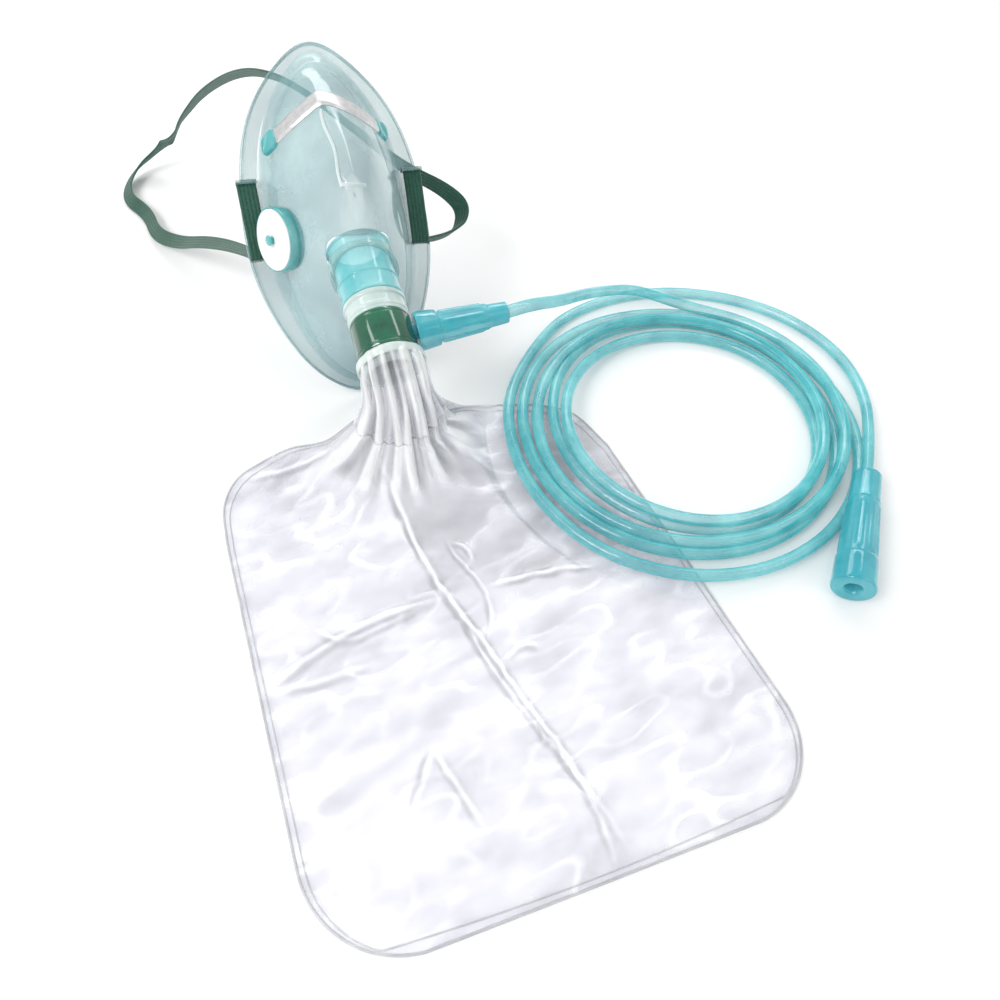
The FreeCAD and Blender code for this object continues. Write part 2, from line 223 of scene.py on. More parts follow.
def blurred(values, width):
    """Running mean down each column, with the end values held."""
    reach = width // 2
    padded = np.pad(values, ((reach, reach), (0, 0)), mode="edge")
    kernel = np.ones(width) / width
    return np.column_stack([np.convolve(column, kernel, "valid") for column in padded.T])


# ---- materials ----
class Nodes:
    """A material's node tree, with short names for what the materials below share."""

    def __init__(self, name):
        self.material = bpy.data.materials.new(name)
        self.material.use_nodes = True
        self.tree = self.material.node_tree
        self.shader = self.tree.nodes["Principled BSDF"]
        self.coords = self.add("ShaderNodeTexCoord").outputs["Object"]

    def add(self, kind, **settings):
        """New node, with each setting put on its input or its property of that name."""
        node = self.tree.nodes.new(kind)
        for key, value in settings.items():
            if key in node.inputs:
                node.inputs[key].default_value = value
            else:
                setattr(node, key, value)
        return node

    def link(self, source, target):
        """Wire from an output to an input."""
        self.tree.links.new(source, target)

    def set(self, **values):
        """Values of the shader's own inputs, with _ for a space."""
        for key, value in values.items():
            self.shader.inputs[key.replace("_", " ")].default_value = value

    def noise(self, scale, detail=3.0, rough=0.5, stretch=(1, 1, 1)):
        """Noise in the object's own space, finer along the axes that are stretched."""
        mapping = self.add("ShaderNodeMapping")
        mapping.inputs["Scale"].default_value = stretch
        self.link(self.coords, mapping.inputs["Vector"])
        tex = self.add("ShaderNodeTexNoise", Scale=scale, Detail=detail, Roughness=rough)
        self.link(mapping.outputs["Vector"], tex.inputs["Vector"])
        return tex.outputs["Fac"]

    def ramp(self, source, stops):
        """Colours at positions along the source."""
        node = self.add("ShaderNodeValToRGB")
        elements = node.color_ramp.elements
        while len(elements) < len(stops):
            elements.new(0.5)
        for element, (position, colour) in zip(elements, stops):
            element.position = position
            element.color = (*colour, 1.0)
        self.link(source, node.inputs["Fac"])
        return node.outputs["Color"]

    def span(self, source, low, high, from_low=0.0, from_high=1.0):
        """The source between two levels, mapped to between low and high."""
        limits = {"From Min": from_low, "From Max": from_high, "To Min": low, "To Max": high}
        node = self.add("ShaderNodeMapRange", **limits)
        self.link(source, node.inputs["Value"])
        return node.outputs["Result"]

    def colour(self, source, stops):
        """Base colour from a ramp."""
        self.link(self.ramp(source, stops), self.shader.inputs["Base Color"])

    def rough(self, *span):
        """Roughness from a span."""
        self.link(self.span(*span), self.shader.inputs["Roughness"])

    def veil(self, blend, thin, thick):
        """Opacity that grows where the surface turns away from the eye."""
        facing = self.add("ShaderNodeLayerWeight", Blend=blend).outputs["Facing"]
        self.link(self.span(facing, thin, thick), self.shader.inputs["Alpha"])

    def bump(self, source, distance, strength=1.0):
        """Relief; distance is in metres."""
        node = self.add("ShaderNodeBump", Distance=distance, Strength=strength)
        self.link(source, node.inputs["Height"])
        self.link(node.outputs["Normal"], self.shader.inputs["Normal"])


def clear_plastic(name, dark, light, thin, thick, roughness, blend, mottle):
    """See-through soft plastic: clearer where it faces the eye, denser where it turns away."""
    m = Nodes(name)
    mottling = m.noise(mottle, 3.0, 0.55)
    m.colour(mottling, [(0.3, dark), (0.7, light)])
    m.rough(mottling, roughness * 0.7, roughness * 1.5, 0.3, 0.7)
    m.veil(blend, thin, thick)
    m.bump(m.noise(mottle * 4, 2.0), 0.00008)
    m.set(Coat_Weight=1.0, Coat_Roughness=0.04, IOR=1.5)
    return m.material


# ---- camera, light and floor ----
# the camera's place is in metres
CAMERA_PLACE = (-0.0334, -0.1379, 0.276)
CAMERA_RIGHT = Vector((0.9511, -0.3090, 0.0))
CAMERA_AHEAD = Vector((0.1772, 0.5455, -0.8192)).normalized()
CAMERA_LENS = 27.36
FLOOR_REACH, FLOOR_LEVEL = 4000.0, -0.05


def camera():
    """Looks down at the mask from the bag's side, close by, as a hand-held camera does."""
    lens = bpy.data.cameras.new("camera")
    lens.sensor_width = 36
    lens.lens = CAMERA_LENS
    eye = added("camera", lens)
    up = CAMERA_RIGHT.cross(CAMERA_AHEAD)
    turn = Matrix((CAMERA_RIGHT, up, -CAMERA_AHEAD)).transposed().to_4x4()
    eye.matrix_world = Matrix.Translation(CAMERA_PLACE) @ turn
    bpy.context.scene.camera = eye


def lamp(name, place, target, size, power):
    """Rectangular lamp that shines at a target; place, target and size are in metres."""
    light = bpy.data.lights.new(name, "AREA")
    light.shape = "RECTANGLE"
    light.size, light.size_y = size
    light.energy = power
    obj = added(name, light)
    obj.location = place
    obj.rotation_euler = (Vector(target) - Vector(place)).to_track_quat("-Z", "Y").to_euler()


def white_floor():
    """Plain pale floor, just under the object."""
    plan = ((-1, -1), (1, -1), (1, 1), (-1, 1))
    corners = [(FLOOR_REACH * x, FLOOR_REACH * y, FLOOR_LEVEL) for x, y in plan]
    floor = make("floor", corners, [(0, 1, 2, 3)])
    m = Nodes("floor_white")
    m.colour(m.noise(3.0), [(0.3, (0.93, 0.93, 0.935)), (0.7, (0.95, 0.95, 0.95))])
    m.set(Roughness=0.85)
    floor.data.materials.append(m.material)


def studio():
    """Bright even surround, three soft lamps and two narrow ones that leave streaks of gloss."""
    world = bpy.data.worlds.new("surround")
    world.use_nodes = True
    world.node_tree.nodes["Background"].inputs["Color"].default_value = (1, 1, 1, 1)
    world.node_tree.nodes["Background"].inputs["Strength"].default_value = 0.66
    bpy.context.scene.world = world
    lamp("key", (-0.75, -0.25, 0.95), (0.02, 0.05, 0.02), (0.5, 0.5), 5.5)
    lamp("fill", (0.8, -0.5, 0.8), (0.05, 0.05, 0.02), (0.8, 0.6), 1.6)
    lamp("back", (0.1, 1.0, 0.7), (0.0, 0.1, 0.05), (0.9, 0.3), 2.6)
    lamp("streak_left", (-0.42, 0.05, 0.62), (-0.01, 0.2, 0.05), (0.70, 0.10), 0.9)
    lamp("streak_right", (0.40, 0.50, 0.60), (0.01, 0.2, 0.05), (0.60, 0.10), 0.7)
    white_floor()
    bpy.context.scene.view_settings.view_transform = "Standard"
    bpy.context.scene.cycles.transparent_max_bounces = 32


# ---- oxygen tubing ----
def bag_lift(x, y):
    """How much higher a piece of tube lies where the bag's edge is under it."""
    edge = smoothstep(98, 84, x) * smoothstep(112, 100, y)
    return 4.6 * edge


# steps round one turn, from one control point to the next, and to what counts as another turn
TURN_STEPS, POINT_STEPS = 96, 6
ANOTHER_TURN = 60
TUBE_LIFT = 0.2


def coil_plan():
    """Plan of the loose turns, from the lead's landing to where the tail leaves."""
    start, end = math.radians(85.9), math.radians(120.5 - 5 * 360)
    turns = abs(end - start) / (2 * math.pi)
    knots = [0.0, 0.25, 0.73, 1.25, 1.73, 2.25, 2.73, 3.25, 3.73, 4.25, 4.73, turns]
    radii = [76.4, 73.0, 71.8, 65.5, 60.0, 60.5, 65.9, 70.5, 77.7, 79.5, 84.6, 89.3]
    steps = int(TURN_STEPS * turns)
    plan = []
    for i in range(steps + 1):
        f = turns * i / steps
        a = start - 2 * math.pi * f
        calm = smoothstep(0, 0.25, f) * smoothstep(turns, turns - 0.25, f)
        fan = 0.28 * math.exp(-((math.remainder(a - math.radians(-130), 2 * math.pi)) / 0.8) ** 2)
        wander = 1.5 * math.sin(1.37 * a + 0.6) + 0.8 * math.sin(2.21 * a + 2.0)
        r = float(np.interp(f, knots, radii))
        r += fan * (r - 60) + calm * wander
        plan.append((COIL_EYE.x + r * math.cos(a), COIL_EYE.y + r * math.sin(a)))
    smooth = blurred(plan, 9)
    smooth[0], smooth[-1] = plan[0], plan[-1]
    return smooth


def coil_points():
    """Coil as control points: each turn rests on the floor, the bag or the turns under it."""
    plan = coil_plan()
    gap = 2 * TUBE_R + 0.3
    height = np.zeros(len(plan))
    for i in range(len(plan) - 1, -1, -1):
        x, y = plan[i]
        height[i] = TUBE_R + TUBE_LIFT + bag_lift(x, y)
        below = slice(min(i + ANOTHER_TURN, len(plan)), len(plan))
        near = np.hypot(*(plan[below] - plan[i]).T)
        under = near < gap * 0.97
        if under.any():
            rest = height[below][under] + np.sqrt(gap ** 2 - near[under] ** 2)
            height[i] = max(height[i], float(rest.max()))
    wide = np.array([height[max(0, i - 7):i + 8].max() for i in range(len(height))])
    soft = blurred(wide[:, None], 19)[:, 0]
    soft[0] = LEAD_ROUTE[-1][2]
    soft[-1] = TUBE_R + TUBE_LIFT
    return [(plan[i][0], plan[i][1], soft[i]) for i in range(POINT_STEPS, len(plan) - 3, POINT_STEPS)]


def oxygen_tube():
    """One tube from the mask's connector through the coil to the end connector."""
    route = [tuple(TIP)] + LEAD_ROUTE + coil_points() + TAIL_ROUTE + [tuple(END_START)]
    obj = nurbs("oxygen_tube", route, TUBE_R, 6)
    return obj, route


# ---- more mesh helpers ----
def applied(obj):
    """Applies the object's modifiers to its mesh."""
    depsgraph = bpy.context.evaluated_depsgraph_get()
    mesh = bpy.data.meshes.new_from_object(obj.evaluated_get(depsgraph))
    obj.modifiers.clear()
    obj.data = mesh
    return obj


def thickened(obj, thick, offset=-1.0, even=True):
    """Gives a surface its wall: inwards, or half to each side at offset 0."""
    solid = obj.modifiers.new("wall", "SOLIDIFY")
    solid.thickness = thick * MM
    solid.offset = offset
    solid.use_even_offset = even
    solid.use_quality_normals = even
    return applied(obj)


def cut(obj, *cutters):
    """Takes the cutters' volumes out of the object."""
    for cutter in cutters:
        step = obj.modifiers.new("cut", "BOOLEAN")
        step.operation = "DIFFERENCE"
        step.solver = "EXACT"
        step.object = cutter
    applied(obj)
    for cutter in cutters:
        bpy.data.objects.remove(cutter)
    return obj


def joined(name, pieces):
    """One object from several meshes that are already in place."""
    bm = bmesh.new()
    for piece in pieces:
        bm.from_mesh(piece.data)
        bpy.data.objects.remove(piece)
    mesh = bpy.data.meshes.new(name)
    bm.to_mesh(mesh)
    bm.free()
    mesh.shade_smooth()
    mesh.set_sharp_from_angle(angle=math.radians(35))
    return added(name, mesh)


def sweep(name, line, sideways, section, place=Matrix.Identity(4)):
    """Section of (across, up) points carried along a line; sideways is the way across at each point."""
    line = np.array(line, float)
    ahead = np.gradient(line, axis=0)
    ahead /= np.linalg.norm(ahead, axis=1)[:, None]
    sideways = np.array(sideways, float)
    across = sideways - (sideways * ahead).sum(1)[:, None] * ahead
    across /= np.linalg.norm(across, axis=1)[:, None]
    up = np.cross(across, ahead)
    verts = [tuple(p + a * c + b * u) for p, c, u in zip(line, across, up) for a, b in section]
    count = len(section)
    faces = grid_faces(len(line), count) + end_caps(len(line), count)
    return make(name, verts, faces, place, 50)


def length_of(line):
    """Length in metres of a line given in millimetres."""
    return float(np.linalg.norm(np.diff(line, axis=0), axis=1).sum()) * MM


def block(name, low, high, place=Matrix.Identity(4)):
    """Straight-sided cutter or bar between two corners."""
    verts = [(x, y, z) for x in (low[0], high[0]) for y in (low[1], high[1]) for z in (low[2], high[2])]
    faces = [(0, 1, 3, 2), (4, 6, 7, 5), (0, 4, 5, 1), (2, 3, 7, 6), (0, 2, 6, 4), (1, 5, 7, 3)]
    return make(name, verts, faces, place)


def closed_spline(points, count):
    """Evenly spaced points on the smooth closed curve through the given ones."""
    p = np.array(points, float)
    n = len(p)
    gaps = np.linalg.norm(np.roll(p, -1, axis=0) - p, axis=1)
    matrix = np.zeros((n, n))
    slopes = np.zeros((n, p.shape[1]))
    for i in range(n):
        before, after = gaps[i - 1], gaps[i]
        matrix[i, i - 1] += before
        matrix[i, i] += 2 * (before + after)
        matrix[i, (i + 1) % n] += after
        slopes[i] = 6 * ((p[(i + 1) % n] - p[i]) / after - (p[i] - p[i - 1]) / before)
    bend = np.linalg.solve(matrix, slopes)
    starts = np.concatenate([[0], np.cumsum(gaps)])
    result = []
    for t in np.linspace(0, starts[-1], count, endpoint=False):
        i = min(int(np.searchsorted(starts, t, side="right")) - 1, n - 1)
        j, gap = (i + 1) % n, gaps[i]
        a, b = (starts[i + 1] - t) / gap, (t - starts[i]) / gap
        curve = ((a ** 3 - a) * bend[i] + (b ** 3 - b) * bend[j]) * gap ** 2 / 6
        result.append(a * p[i] + b * p[j] + curve)
    return np.array(result)


def eased_rows(table, steps):
    """Rows between the rows of a table, on smooth curves through them."""
    table = np.array(table, float)
    ends = np.vstack([2 * table[0] - table[1], table, 2 * table[-1] - table[-2]])
    rows = []
    for i in range(1, len(table)):
        a, b, c, d = ends[i - 1], ends[i], ends[i + 1], ends[i + 2]
        for k in range(steps):
            t = k / steps
            rows.append(0.5 * (2 * b + (c - a) * t + (2 * a - 5 * b + 4 * c - d) * t ** 2
                               + (3 * b - a - 3 * c + d) * t ** 3))
    rows.append(table[-1])
    return rows


def dress(obj, material, body, slot, *nodes):
    """Gives a piece its material and its body, and hides the CAD nodes that it stands for; slot is not used.
    """
    obj.data.materials.clear()
    obj.data.materials.append(material)
    if body:
        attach(obj, body)
    if nodes:
        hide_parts(*nodes)
    return obj


def repaint(node, material):
    """Gives a CAD node, which keeps its own mesh, a material of this scene."""
    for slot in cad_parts[node].material_slots:
        slot.material = material


# ---- mask shell ----
OUTLINE_STEPS = 320
DOME_STEPS = 9
# share of the way in from the rim to the dome's foot, and height: rolled edge, flange and fillet
RIM_ROWS = [
    (0.0, 0.3), (0.0, 1.2), (0.03, 1.9), (0.09, 2.2), (0.16, 2.05), (0.22, 1.6), (0.30, 1.45),
    (0.50, 1.4), (0.72, 1.4), (0.86, 1.6), (0.95, 2.2), (1.0, 3.2),
]


def pear_ring(low, high, half, z):
    """One level of the mask: broad cheeks, round chin, narrow nose."""
    span = high - low
    right = [(half * x, low + span * y) for x, y in SIDE]
    left = [(-x, y) for x, y in reversed(right)]
    plan = closed_spline([(0, low)] + right + [(0, high)] + left, OUTLINE_STEPS)
    return np.column_stack([plan, np.full(len(plan), z)])


CREST_X = -4.6
CREST_OUT = (0.0, 0.62, 0.78)


def nose_ridge(ring):
    """Soft moulded fold down the nose, under the sharp crest."""
    x, y, z = ring.T
    line = CREST_X + 3.4 * np.clip((y - 116) / 28, 0, 1)
    crest = np.exp(-((x - line) / 2.6) ** 2)
    length = np.clip((y - 80) / 14, 0, 1) * np.clip((150 - y) / 24, 0, 1) * np.clip((z - 4) / 14, 0, 1)
    return ring + np.array([CREST_OUT]) * (1.1 * crest * length)[:, None]


def shell_rows():
    """The mask's outer surface, ring by ring, from its rolled rim to the top of the dome."""
    foot = DOME[0]
    rows = []
    for share, z in RIM_ROWS:
        low, high = foot[1] * share, RIM_LENGTH + (foot[2] - RIM_LENGTH) * share
        rows.append(pear_ring(low, high, RIM_HALF_WIDTH + (foot[3] - RIM_HALF_WIDTH) * share, z))
    levels = [row for row in eased_rows(DOME, DOME_STEPS) if row[0] > RIM_ROWS[-1][1] + 0.7]
    for z, low, high, half in levels:
        rows.append(nose_ridge(pear_ring(low, high, half, z)))
    top = rows[-1]
    centre = top.mean(0)
    for share in (0.85, 0.65, 0.42, 0.2, 0.06):
        ring = centre + (top - centre) * share
        ring[:, 2] = top[:, 2] + 1.0 * (1 - share ** 2)
        rows.append(ring)
    return rows


PORT_HOLE, VALVE_HOLE = 13.6, 11.5
SLOT_HALF_WIDTH, SLOT_HALF_HEIGHT = 4.4, 0.8


def shell_cutters():
    """Openings of the shell: the connector's port, the cheek valve's hole and four strap slots."""
    cutters = []
    for start, end in ((-6, 30), (-16, -5.9)):
        profile = [(start, 0), (start, PORT_HOLE), (end, PORT_HOLE), (end, 0)]
        cutters.append(lathe("port_cutter", LINE, profile, 64))
    profile = [(-14, 0), (-14, VALVE_HOLE), (9, VALVE_HOLE), (9, 0)]
    cutters.append(lathe("valve_cutter", VALVE, profile, 64))
    for side in (-1, 1):
        for y in (SLOT_LOW, SLOT_HIGH):
            x = side * STRAP_X
            low = (x - SLOT_HALF_WIDTH, y - SLOT_HALF_HEIGHT, -2)
            high = (x + SLOT_HALF_WIDTH, y + SLOT_HALF_HEIGHT, 5)
            cutters.append(block("slot_cutter", low, high, MASK))
    return cutters


def mask_shell():
    """Thin clear shell with its openings, and its outer surface for the pieces that lie on it."""
    rows = shell_rows()
    verts = [tuple(p) for row in rows for p in row]
    faces = grid_faces(len(rows), OUTLINE_STEPS) + end_caps(len(rows), OUTLINE_STEPS)[1:]
    shell = make("mask_shell_pvc", verts, faces, MASK, 60)
    tree = BVHTree.FromPolygons(verts, faces)
    thickened(shell, WALL)
    cut(shell, *shell_cutters())
    shell.data.shade_smooth()
    shell.data.set_sharp_from_angle(angle=math.radians(60))
    return shell, tree


def port_sleeve(around=128):
    """Short moulded socket that the connector turns in, cut off along the slope of the dome."""
    profile = rounded([
        (0.0, 12.62), (0.0, 13.7), (0.80, 13.9), (0.82, 14.5), (1.0, 14.5), (1.0, 12.62)], 0.05, 4)
    turn = LINE.to_3x3()
    verts = []
    for share, r in profile:
        for k in range(around):
            a = 2 * math.pi * k / around
            out = Vector((math.cos(a), math.sin(a), 0))
            end = 3.4 - 4.6 * (turn @ out).dot(COLLAR_UP)
            verts.append((r * out.x, r * out.y, -4 + share * (end + 4)))
    return make("mask_port_sleeve", verts, grid_faces(len(profile), around, wrap_rows=True), LINE)


def draped(tree, x, y, lift):
    """Point above the dome, measured along its own slope."""
    hit, normal, _, _ = tree.ray_cast(Vector((x, y, 90)), Vector((0, 0, -1)))
    if normal.z < 0:
        normal = -normal
    return hit + normal * lift


PAD_EDGE, PAD_SUNK = 0.15, 0.25


def dome_patch(name, tree, centre, half, thick, steps, lanes=14):
    """Closed pad on the dome: centre(u) gives its middle line, half(u) its half width, u from -1 to 1."""
    verts = []
    across = np.linspace(-1, 1, lanes)
    for i in range(steps):
        u = -1 + 2 * i / (steps - 1)
        x, y = centre(u)
        width = half(u)
        end = (1 - abs(u) ** 20) ** 0.5
        top = [(a, PAD_EDGE + (thick - PAD_EDGE) * (1 - abs(a) ** 6) ** 0.5 * end) for a in across]
        bottom = [(a, -PAD_SUNK) for a in reversed(across)]
        for a, lift in top + bottom:
            verts.append(tuple(draped(tree, x, y + a * width, lift)))
    count = 2 * lanes
    faces = grid_faces(steps, count) + end_caps(steps, count)
    return make(name, verts, faces, MASK, 40)


CLIP_HALF_SPAN, CLIP_PEAK, CLIP_BEND = 25.0, 124.0, -2.8
CLIP_HALF_WIDTH, CLIP_THICK = 3.0, 0.95
TAB_REACH, TAB_HALF_WIDTH, TAB_THICK = 2.9, 4.0, 1.5


def clip_line(x):
    """Height of the strip over the nose; it is bent down further on the left."""
    run = math.hypot(x - CLIP_BEND, 2.5) - 2.5
    return CLIP_PEAK - (0.66 if x < CLIP_BEND else 0.42) * run


def nose_clip(tree):
    """Soft metal strip across the nose."""
    return dome_patch(
        "nose_clip_strip", tree, lambda u: (CLIP_HALF_SPAN * u, clip_line(CLIP_HALF_SPAN * u)),
        lambda u: CLIP_HALF_WIDTH * (1 - abs(u) ** 16) ** 0.5 + 0.02, CLIP_THICK, 90)


def nose_bead(tree):
    """Sharp moulded crest down the nose, with a small foot at its lower end."""
    section = [(-0.7, -0.3), (0.7, -0.3), (0.6, 0.3), (0.25, 0.9), (0, 1.0), (-0.25, 0.9), (-0.6, 0.3)]
    crest = [draped(tree, CREST_X - 0.5 * math.sin(0.3 * k), 118.5 - k, 0.0)
             for k in np.linspace(0, 30.5, 40)]
    foot = [draped(tree, x, 88.2 - 0.12 * x, 0.0) for x in np.linspace(CREST_X, 4.2, 14)]
    beads = []
    for line in (crest, foot):
        line = np.array(line)
        normals = np.tile(CREST_OUT, (len(line), 1))
        beads.append(sweep("bead", line, np.cross(np.gradient(line, axis=0), normals), section, MASK))
    return joined("nose_crest_bead", beads)


def clip_tab(tree, side):
    """Moulded tab that holds one end of the strip."""
    middle = side * (CLIP_HALF_SPAN - 0.5)
    return dome_patch(
        "clip_tab", tree, lambda u: (middle + TAB_REACH * u, clip_line(middle + TAB_REACH * u)),
        lambda u: TAB_HALF_WIDTH * (1 - abs(u) ** 5) ** 0.5 + 0.02, TAB_THICK, 26)


# ---- cheek valve ----
def valve_seat():
    """Ring that clips into the cheek, with six spokes and the peg that holds the flap."""
    ring = lathe("seat_ring", VALVE, rounded([
        (-1.4, 10.0), (-1.4, 13.0), (0.8, 13.0), (1.2, 13.5), (4.4, 13.5), (5.6, 13.3), (5.6, 12.75),
        (4.9, 12.7), (4.9, 10.0)], 0.35, 4))
    spokes = []
    for k in range(3):
        turn = Matrix.Rotation(math.radians(60 * k), 4, "Z")
        spokes.append(block("seat_spoke", (-10.3, -0.8, 3.6), (10.3, 0.8, 4.9), VALVE @ turn))
    peg = lathe("seat_peg", VALVE, rounded([
        (3.7, 0.0), (3.7, 2.6), (5.0, 2.6), (5.0, 1.5), (7.7, 1.5), (7.8, 2.3), (8.3, 2.0), (8.6, 0.9),
        (8.7, 0.0)], 0.25, 3), 40)
    return joined("cheek_valve_seat", [ring] + spokes + [peg])


def valve_flap():
    """Thin silicone disc, dished a little, with moulded rings."""
    top = [(5.85 + 0.40 * math.cos(r / 12.6 * math.pi / 2) + 0.06 * math.cos(r * 2.4), r)
           for r in np.linspace(12.55, 1.62, 26)]
    profile = [(5.25, 1.62), (5.02, 6.0), (5.02, 12.3), (5.2, 12.6)] + top
    return lathe("cheek_valve_flap", VALVE, profile, 96, 50)


# ---- strap ----
STRAP_WIDE, STRAP_THICK, STRAP_RIBS = 8.4, 1.3, 5


def strap_section():
    """Cross-section of the ribbed elastic: rounded cords side by side."""
    steps = STRAP_RIBS * 8
    top = []
    for k in range(steps + 1):
        f = k / steps
        rib = 0.62 + 0.38 * abs(math.sin(math.pi * STRAP_RIBS * f))
        edge = math.sqrt(max(1 - abs(2 * f - 1) ** 18, 0.0))
        top.append(((f - 0.5) * STRAP_WIDE, STRAP_THICK / 2 * rib * (0.25 + 0.75 * edge)))
    return top + [(a, -b) for a, b in reversed(top)]


def strap_loop():
    """Free length of the band, from the left slot round behind the mask to the right slot."""
    route = STRAP_LEFT_ROUTE + STRAP_RIGHT_ROUTE[1:]
    line = traced(route, 12)
    # direction across the band at shares of its length
    mask_x = (MASK.to_3x3() @ Vector((1, 0, 0))).normalized()
    keys = [
        (0.0, mask_x), (0.10, Vector((0.9, 0.3, 0.35))), (0.22, Vector((0.75, 0.35, 0.55))),
        (0.36, Vector((0.75, -0.1, 0.62))), (0.46, Vector((0.4, -0.65, 0.65))),
        (0.56, Vector((0.0, -0.8, 0.6))), (0.70, Vector((-0.1, -0.8, 0.6))),
        (0.82, Vector((-0.05, -0.55, 0.85))), (0.91, Vector((0.35, -0.2, 0.85))),
        (0.96, Vector((0.8, 0.1, 0.5))), (1.0, mask_x),
    ]
    steps = np.linalg.norm(np.diff(line, axis=0), axis=1)
    share = np.concatenate([[0], np.cumsum(steps)]) / steps.sum()
    shares = [k[0] for k in keys]
    sideways = np.column_stack([np.interp(share, shares, [k[1][c] for k in keys]) for c in range(3)])
    return sweep("head_strap", line, blurred(sideways, 15), strap_section()), line


def strap_run(side, loop_end):
    """Stretch of the band over the flange, from behind one slot to behind the other."""
    x = side * STRAP_X
    end = MASK.inverted() @ Vector(loop_end)
    top = 2.6
    route = [tuple(end), ((x + end.x) / 2, (SLOT_LOW + end.y) / 2, end.z / 2 - 1), (x, SLOT_LOW, -0.5),
             (x, SLOT_LOW + 0.2, top), (x, SLOT_LOW + 5, top + 0.1),
             (x, (SLOT_LOW + SLOT_HIGH) / 2, top + 0.3), (x, SLOT_HIGH - 5, top + 0.1),
             (x, SLOT_HIGH - 0.4, top), (x, SLOT_HIGH - 0.1, 0.6), (x, SLOT_HIGH - 0.1, -0.9)]
    line = traced(route, 10)
    side_name = "left" if side < 0 else "right"
    return sweep("strap_on_flange_" + side_name, line, [(1, 0, 0)] * len(line), strap_section(), MASK)


# ---- connector line ----
def turned(name, profile, radius=0.3, steps=4):
    """Finely turned ring on the connector's axis, with its corners rounded."""
    return lathe(name, LINE, rounded(profile, radius, steps), 128)


def swivel_connector():
    """Clear 22 mm connector: beaded ends and a snap lip inside the mask."""
    return turned("swivel_connector_body", [
        (-9.4, 10.5), (-9.4, 12.9), (-8.9, 13.6), (-8.1, 13.6), (-8.0, 12.48), (8.6, 12.48), (8.8, 12.9),
        (9.6, 12.9), (9.8, 12.48), (16.2, 12.6), (16.6, 13.1), (17.8, 13.1), (18.0, 12.4), (18.0, 10.4),
        (26.2, 10.4), (26.2, 9.2), (16.6, 9.2), (16.0, 10.5)])


def seal_ring():
    """Clear ring with beads, between the connector and the housing."""
    return turned("seal_ring_clear", [
        (18.05, 10.55), (18.05, 12.5), (18.5, 13.1), (20.2, 13.1), (20.6, 12.4), (23.6, 12.3), (24.0, 12.7),
        (25.4, 12.7), (25.8, 12.3), (26.95, 12.3), (26.95, 10.55)])


def valve_housing():
    """Glossy green housing, with a shallow parting groove near each end and the inlet's hole."""
    body = turned("valve_housing_green", [
        (27.0, 10.52), (27.0, 12.3), (28.2, 12.55), (28.5, 12.3), (28.9, 12.3), (29.2, 12.6), (41.0, 12.6),
        (41.3, 12.3), (41.7, 12.3), (42.0, 12.55), (43.0, 12.3), (43.0, 10.52)])
    inlet = axis_matrix(INLET, Vector((1, 0, 0)))
    return cut(body, lathe("inlet_cutter", inlet, [(4, 0), (4, 4.25), (20, 4.25), (20, 0)], 48))


def collar_ring():
    """Clear collar that carries the bag, with a bead above the tie band."""
    return turned("bag_collar_ring", [
        (39.0, 9.1), (39.0, 10.46), (43.05, 10.46), (43.05, 12.3), (44.2, 12.7), (45.4, 12.3), (49.2, 12.1),
        (50.2, 11.6), (50.2, 10.1), (44.0, 10.1), (43.0, 9.1)])


def tie_band():
    """Soft clear band that holds the gathered film on the collar."""
    return turned("bag_tie_band_clear", [(44.6, 13.3), (44.6, 14.2), (47.9, 14.2), (47.9, 13.3)], 0.45, 5)


# ---- reservoir bag ----
FILM = 0.3
FILM_TONE = 0.57
UNDER_COIL, COIL_REACH = 3.6, 92.0
FRONT_LOWEST, BACK_LOWEST = 0.75, 0.35
WELD_FLATNESS = 0.8
NECK_STEPS, TENT_STEPS, BODY_STEPS, COLUMNS = 45, 84, 180, 221


def spread_rows(table, steps):
    """Smooth rows through rows of left edge, right edge, front middle, back middle and flatness."""
    return eased_rows([[value for part in row for value in part] for row in table], steps)


def collar_row(t, radius):
    """Round row of film that sits on the collar."""
    centre = PORT_POINT + AXIS * t
    return [tuple(centre - Vector((radius, 0, 0))), tuple(centre + Vector((radius, 0, 0))),
            tuple(centre + COLLAR_UP * radius), tuple(centre - COLLAR_UP * radius), (0.0,)]


NECK_FOOT = [(-27, 84, 30), (13, 86, 29), (-8, 61, 35), (-7, 78, 22), (0.30,)]


def neck_rows():
    """Gathered neck, from the collar to where the bag opens out."""
    return spread_rows([
        collar_row(43.8, 13.0),
        collar_row(50.5, 13.1),
        [(-21.5, 79, 45), (7, 79, 45), (-7, 63, 56), (-7, 81, 37), (0.05,)],
        NECK_FOOT,
    ], NECK_STEPS // 3)


def tent_rows():
    """Slope from the neck down to the flat bag."""
    return spread_rows([
        NECK_FOOT,
        [(-41, 90, 15), (23, 92, 15), (-10, 52, 25), (-9, 66, 8), (0.60,)],
        [(-57, 98, 6.5), (34, 96, 7), (-11, 42, 17), (-9, 54, 2), (0.85,)],
        [(-71, 97.5, 2.4), (45, 96, 3.0), (-11, 31, 11), (-9, 38, 0.6), (1.0,)],
        [(-83, 92, 1.3), (60, 92, 2.0), (-10, 18, 8), (-8, 20, 0.4), (1.0,)],
        [(-90, 79, 1.1), (75, 82, 1.2), (-9, 6, 6.6), (-7, 6, 0.4), (1.0,)],
        [(-91, 60, 1.0), (83, 60, 1.0), (-4, -8, 6.0), (-4, -8, 0.4), (1.0,)],
    ], TENT_STEPS // 6)


